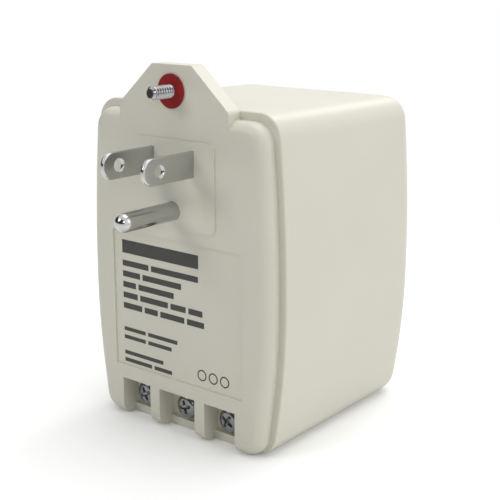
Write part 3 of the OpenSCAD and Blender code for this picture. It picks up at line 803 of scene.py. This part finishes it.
@dataclass
class ScrewHead:
    """A pan head with a cross recess, drawn on a polar grid."""

    radius: float
    height: float
    recess: float
    recess_depth: float
    turn_deg: float

    def rings(self, rows: int = 44, columns: int = 144) -> np.ndarray:
        """Points of the head above its bearing face.

        Args:
            rows: Rings from the middle to the edge.
            columns: Points round each ring.

        Returns:
            Grid of across, height and across. The crown is a flat dome that turns down at the
            edge as a quarter of a superellipse, less the depth of the recess.
        """
        share = np.concatenate([np.linspace(0, 0.86, rows), 1 - 0.14 * (1 - np.linspace(0, 1, 12)[1:]) ** 2])
        a = np.linspace(0, 2 * math.pi, columns, endpoint=False)
        r = share[:, None] * self.radius
        crown = 0.25 + 0.75 * np.clip(1 - share**4.5, 0, 1) ** 0.42
        x, z = r * np.cos(a), r * np.sin(a)
        turn = math.radians(self.turn_deg)
        u = x * math.cos(turn) + z * math.sin(turn)
        v = -x * math.sin(turn) + z * math.cos(turn)
        lift = self.height * crown[:, None] - cross_depth(u, v, self.recess, self.recess_depth)
        return np.stack([x, lift, z], -1)

    def placed(self, seat_y: float, facing: Facing, columns: int) -> np.ndarray:
        """Points of the head with its bearing face at a distance, looking to the front or back."""
        points = self.rings(columns=columns)
        points[..., 1] = seat_y + facing.value * points[..., 1]
        return points


def threaded(radius: float, pitch: float, start: float, end: float, columns: int = 48) -> np.ndarray:
    """Rings of a rolled thread along Y.

    The radius at each point is the crest less a depth that follows a rounded triangle wave of
    the distance minus one pitch for each turn, so the crest runs as a helix. It fades out at
    both ends.

    Args:
        radius: Radius of the crests.
        pitch: Distance between crests.
        start: Distance of the first ring.
        end: Distance of the last ring.
        columns: Points round each ring.

    Returns:
        Grid of points about the axis.
    """
    rows = int(abs(end - start) / pitch * 12) + 1
    y = np.linspace(start, end, rows)[:, None]
    a = np.linspace(0, 2 * math.pi, columns, endpoint=False)[None, :]
    phase = (y / pitch - a / (2 * math.pi)) % 1.0
    wave = np.abs(2 * phase - 1)
    wave = wave * wave * (3 - 2 * wave)
    fade = np.clip(np.minimum(np.abs(y - start), np.abs(end - y)) / (0.6 * pitch), 0, 1)
    r = radius - 0.54 * pitch * (1 - wave) * fade
    return np.stack([r * np.cos(a), np.broadcast_to(y, r.shape), r * np.sin(a)], -1)


@dataclass
class MountingScrew:
    """The captive screw in the tab, with its fibre washer in front and its head behind."""

    z: float = 85.8
    radius: float = 1.62
    neck: float = 1.3
    head_y: float = 4.2
    tip_y: float = -7.2
    chamfer_y: float = -6.6
    thread_back: float = -0.5
    washer_r: float = 4.05
    washer_t: float = 0.45

    def build(self) -> bpy.types.Object:
        """Joins the flat tip, chamfer, helix, neck and recessed head as one row of rings."""
        head = ScrewHead(3.1, 2.2, 3.6, 1.2, 20.0)
        columns = 144
        a = np.linspace(0, 2 * math.pi, columns, endpoint=False)

        def ring(r: float, y: float) -> np.ndarray:
            return np.stack([r * np.cos(a), np.full(columns, y), r * np.sin(a)], -1)

        tip = [ring(r, self.tip_y) for r in (0.0, 0.6, 0.95, 1.02)]
        tip += [ring(1.08, self.tip_y + 0.03), ring(1.45, self.chamfer_y - 0.12)]
        thread = threaded(self.radius, 0.794, self.chamfer_y, self.thread_back, columns)
        neck = [ring(self.neck, self.thread_back + 0.2), ring(self.neck, self.head_y)]
        top = head.placed(self.head_y, Facing.BACK, columns)[::-1]
        under = [ring(3.0, self.head_y), ring(3.1, self.head_y + 0.1)]
        points = np.concatenate([np.stack(tip), thread, np.stack(neck), np.stack(under), top])
        points = points + np.array([0.0, FACE_Y, self.z])
        piece = surface("mounting_screw_threaded", points, grid_faces(len(points), columns, True), 50)
        centres = np.empty(len(piece.data.polygons) * 3, np.float32)
        piece.data.polygons.foreach_get("center", centres)
        at_end = centres.reshape(-1, 3)[:, 1] < (self.tip_y + FACE_Y + 0.02) * MM
        piece.data.polygons.foreach_set("material_index", at_end.astype(np.int32))
        return piece

    def washer(self) -> bpy.types.Object:
        """Revolves the washer's section, punched square with slightly broken edges."""
        back = -0.1
        front = back - self.washer_t
        inner = self.neck + 0.05
        section = rounded_profile(
            [
                (inner, back, 0.0),
                (inner, front, 0.06),
                (self.washer_r, front, 0.12),
                (self.washer_r, back, 0.1),
                (inner, back, 0.0),
            ],
            4,
        )
        return revolved("fibre_washer", section, (0.0, self.z), 128)

    def dress(self) -> None:
        """Stands in for the screw and its washer."""
        screw = self.build()
        dress(screw, ZINC_SCREW, "mounting_screw", "screw", "mounting_screw")
        screw.data.materials.append(SHEARED_STEEL.material())
        dress(self.washer(), RED_FIBRE, "mounting_screw", "fibre", "retaining_washer")


@dataclass
class TerminalScrew:
    """One of the terminal screws: a pan head with a cross recess on a threaded shank."""

    side: str
    x: float
    turn_deg: float
    z: float = 6.2
    head_y: float = 4.8
    head_r: float = 3.1
    head_h: float = 1.9
    shank_r: float = 1.7
    length: float = 8.0

    def build(self) -> bpy.types.Object:
        """Joins the recessed head, its bearing face, the helix and the chamfered end."""
        columns = 144
        head = ScrewHead(self.head_r, self.head_h, 3.7, 1.15, self.turn_deg)
        head = head.placed(self.head_y, Facing.FRONT, columns)
        a = np.linspace(0, 2 * math.pi, columns, endpoint=False)

        def ring(r: float, y: float) -> np.ndarray:
            return np.stack([r * np.cos(a), np.full(columns, y), r * np.sin(a)], -1)

        end = self.head_y + self.length
        under = [ring(self.head_r, self.head_y - 0.15), ring(self.head_r - 0.1, self.head_y), ring(1.5, self.head_y)]
        thread = threaded(self.shank_r, 0.794, self.head_y + 0.2, end - 0.5, columns)
        tip = [ring(1.3, end - 0.05), ring(1.2, end), ring(0.0, end)]
        points = np.concatenate([head, np.stack(under), thread, np.stack(tip)])
        points = points + np.array([self.x, FACE_Y, self.z])
        return surface(f"terminal_screw_{self.side}_headed", points, grid_faces(len(points), columns, True), 50)

    def dress(self) -> None:
        """Stands in for the terminal screw."""
        name = f"terminal_screw_{self.side}"
        dress(self.build(), ZINC_TERMINAL, name, "terminal_screw", name)


@dataclass
class InnerParts:
    """The terminal pieces and the transformer, which keep their own solids."""

    def dress(self, nodes: dict[str, bpy.types.Object]) -> None:
        """Puts the finish of each node in its own material slot.

        Args:
            nodes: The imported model's objects by name.
        """
        for name, finish in NODE_FINISHES.items():
            node = nodes[name]
            node.data.materials.clear()
            node.data.materials.append(finish.material())
            LOG.info("%s keeps its solid, finish %s", name, finish.name)


def background_rays(tree: bpy.types.NodeTree) -> bpy.types.NodeSocket:
    """Socket that is one for rays that show the background: seen, mirrored or let through."""
    rays = add_node(tree, "ShaderNodeLightPath").outputs
    pair = add_node(
        tree, "ShaderNodeMath", {0: rays["Is Camera Ray"], 1: rays["Is Glossy Ray"]}, operation="MAXIMUM"
    )
    return add_node(
        tree, "ShaderNodeMath", {0: pair.outputs[0], 1: rays["Is Transmission Ray"]}, operation="MAXIMUM"
    ).outputs[0]


@dataclass
class Studio:
    """Camera, pale floor and soft lamps."""

    focal_px: float = 1048.0
    yaw_deg: float = 38.93
    pitch_deg: float = 14.69
    roll_deg: float = 0.15
    place: tuple[float, float, float] = (0.1671, -0.2099, 0.1117)
    fill: float = 0.76
    floor_glow: float = 0.07

    def camera(self) -> None:
        """Stands the camera where the photograph's own camera stood."""
        yaw, pitch, roll = (math.radians(v) for v in (self.yaw_deg, self.pitch_deg, self.roll_deg))
        ahead = Vector((-math.sin(yaw), math.cos(yaw), 0))
        right = Vector((math.cos(yaw), math.sin(yaw), 0))
        up = Vector((0, 0, 1))
        forward = ahead * math.cos(pitch) - up * math.sin(pitch)
        above = ahead * math.sin(pitch) + up * math.cos(pitch)
        across = right * math.cos(roll) + above * math.sin(roll)
        upward = above * math.cos(roll) - right * math.sin(roll)
        data = bpy.data.cameras.new("camera")
        data.sensor_width = 36.0
        data.lens = self.focal_px / PHOTO_PX * data.sensor_width
        data.clip_start, data.clip_end = 0.01, 60.0
        camera = bpy.data.objects.new("camera", data)
        turn = Matrix((across, upward, -forward)).transposed().to_4x4()
        camera.matrix_world = Matrix.Translation(self.place) @ turn
        bpy.context.scene.collection.objects.link(camera)
        bpy.context.scene.camera = camera

    def floor(self) -> None:
        """A wide pale floor, which the camera sees as white apart from the object's shadow."""
        size = 30.0
        mesh = bpy.data.meshes.new("floor")
        mesh.from_pydata([(-size, -size, 0), (size, -size, 0), (size, size, 0), (-size, size, 0)], [], [(0, 1, 2, 3)])
        floor = bpy.data.objects.new("floor", mesh)
        bpy.context.scene.collection.objects.link(floor)
        made = bpy.data.materials.new("matt_white_paper")
        made.use_nodes = True
        tree = made.node_tree
        tree.nodes.clear()
        seen = background_rays(tree)
        plain = add_node(tree, "ShaderNodeBsdfDiffuse", {"Color": linear("#E6E6E4")})
        lit = add_node(tree, "ShaderNodeBsdfDiffuse", {"Color": linear("#FFFFFF")})
        glow = add_node(tree, "ShaderNodeEmission", {"Color": linear("#FFFFFF"), "Strength": self.floor_glow})
        near = add_node(tree, "ShaderNodeAddShader", {0: lit.outputs["BSDF"], 1: glow.outputs["Emission"]})
        white = add_node(tree, "ShaderNodeEmission", {"Color": linear("#FFFFFF"), "Strength": 1.0})
        place = add_node(tree, "ShaderNodeTexCoord").outputs["Object"]
        reach = add_node(tree, "ShaderNodeVectorMath", {0: place}, operation="LENGTH")
        far = add_node(
            tree,
            "ShaderNodeMapRange",
            {"Value": reach.outputs["Value"], "From Min": 0.1, "From Max": 0.26},
            interpolation_type="SMOOTHSTEP",
        )
        shown = add_node(
            tree,
            "ShaderNodeMixShader",
            {0: far.outputs["Result"], 1: near.outputs["Shader"], 2: white.outputs["Emission"]},
        )
        mixed = add_node(
            tree,
            "ShaderNodeMixShader",
            {0: seen, 1: plain.outputs["BSDF"], 2: shown.outputs["Shader"]},
        )
        add_node(tree, "ShaderNodeOutputMaterial", {"Surface": mixed.outputs["Shader"]})
        mesh.materials.append(made)

    def world(self) -> None:
        """White to the camera, in gloss and through glass, and a soft fill otherwise."""
        world = bpy.data.worlds.new("studio")
        bpy.context.scene.world = world
        world.use_nodes = True
        tree = world.node_tree
        tree.nodes.clear()
        seen = background_rays(tree)
        fill = add_node(tree, "ShaderNodeBackground", {"Color": linear("#FFFFFF"), "Strength": self.fill})
        white = add_node(tree, "ShaderNodeBackground", {"Color": linear("#FFFFFF"), "Strength": 1.0})
        mixed = add_node(
            tree,
            "ShaderNodeMixShader",
            {0: seen, 1: fill.outputs["Background"], 2: white.outputs["Background"]},
        )
        add_node(tree, "ShaderNodeOutputWorld", {"Surface": mixed.outputs["Shader"]})

    def card(self) -> None:
        """A dark card behind the camera, which shades the front and darkens what metal mirrors."""
        mesh = bpy.data.meshes.new("dark_card")
        bend = [(-1.1, 0.25), (-1.1, -0.8), (0.75, -0.8)]
        mesh.from_pydata([(x, y, z) for z in (0.0, 0.85) for x, y in bend], [], [(0, 1, 4, 3), (1, 2, 5, 4)])
        card = bpy.data.objects.new("dark_card", mesh)
        bpy.context.scene.collection.objects.link(card)
        made = bpy.data.materials.new("black_felt_card")
        made.use_nodes = True
        tree = made.node_tree
        tree.nodes.clear()
        felt = add_node(tree, "ShaderNodeBsdfDiffuse", {"Color": linear("#2B2B2B")})
        add_node(tree, "ShaderNodeOutputMaterial", {"Surface": felt.outputs["BSDF"]})
        mesh.materials.append(made)
        card.visible_camera = False

    def lamp(self, name: str, place: tuple[float, float, float], size: float, watts: float) -> None:
        """Adds one square soft lamp that looks at the middle of the object.

        Args:
            name: Name of the lamp.
            place: Where it hangs.
            size: Side of its square.
            watts: Its power.
        """
        data = bpy.data.lights.new(name, "AREA")
        data.shape = "SQUARE"
        data.size = size
        data.energy = watts
        lamp = bpy.data.objects.new(name, data)
        lamp.visible_camera = False
        lamp.location = place
        aim = Vector((0, 0, 0.045)) - Vector(place)
        lamp.rotation_mode = "QUATERNION"
        lamp.rotation_quaternion = aim.to_track_quat("-Z", "Y")
        bpy.context.scene.collection.objects.link(lamp)

    def build(self) -> None:
        """Sets the whole stage."""
        self.camera()
        self.floor()
        self.world()
        self.card()
        self.lamp("top_softbox", (0.05, 0.15, 0.75), 0.6, 2.0)
        self.lamp("rim_softbox", (-0.05, 0.7, 0.6), 0.25, 0.85)
        self.lamp("side_softbox", (0.75, 0.1, 0.35), 0.5, 0.68)
        self.lamp("front_fill", (-0.35, -0.75, 0.5), 0.4, 2.4)
        self.lamp("camera_softbox", (0.3, -0.42, 0.24), 0.14, 0.2)
        bpy.context.scene.view_settings.view_transform = "Standard"
        LOG.info("stage, camera and lamps are set")


def main() -> None:
    """Builds the object piece by piece and reports each through the log."""
    logging.basicConfig(level=logging.INFO, format="%(message)s")
    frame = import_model()
    Studio().build()
    RearCase().dress()
    FrontCover().dress(frame["nodes"]["front_cover"])
    LabelPrint().dress()
    GroundPin().dress()
    PlugBlade("line", 6.35).dress()
    PlugBlade("neutral", -6.35).dress()
    MountingScrew().dress()
    pitch = 13.95
    for side, x, turn in (("left", -pitch, 25.0), ("middle", 0.0, 15.0), ("right", pitch, 58.0)):
        TerminalScrew(side, x, turn).dress()
    InnerParts().dress(frame["nodes"])


if __name__ == "__main__":
    main()
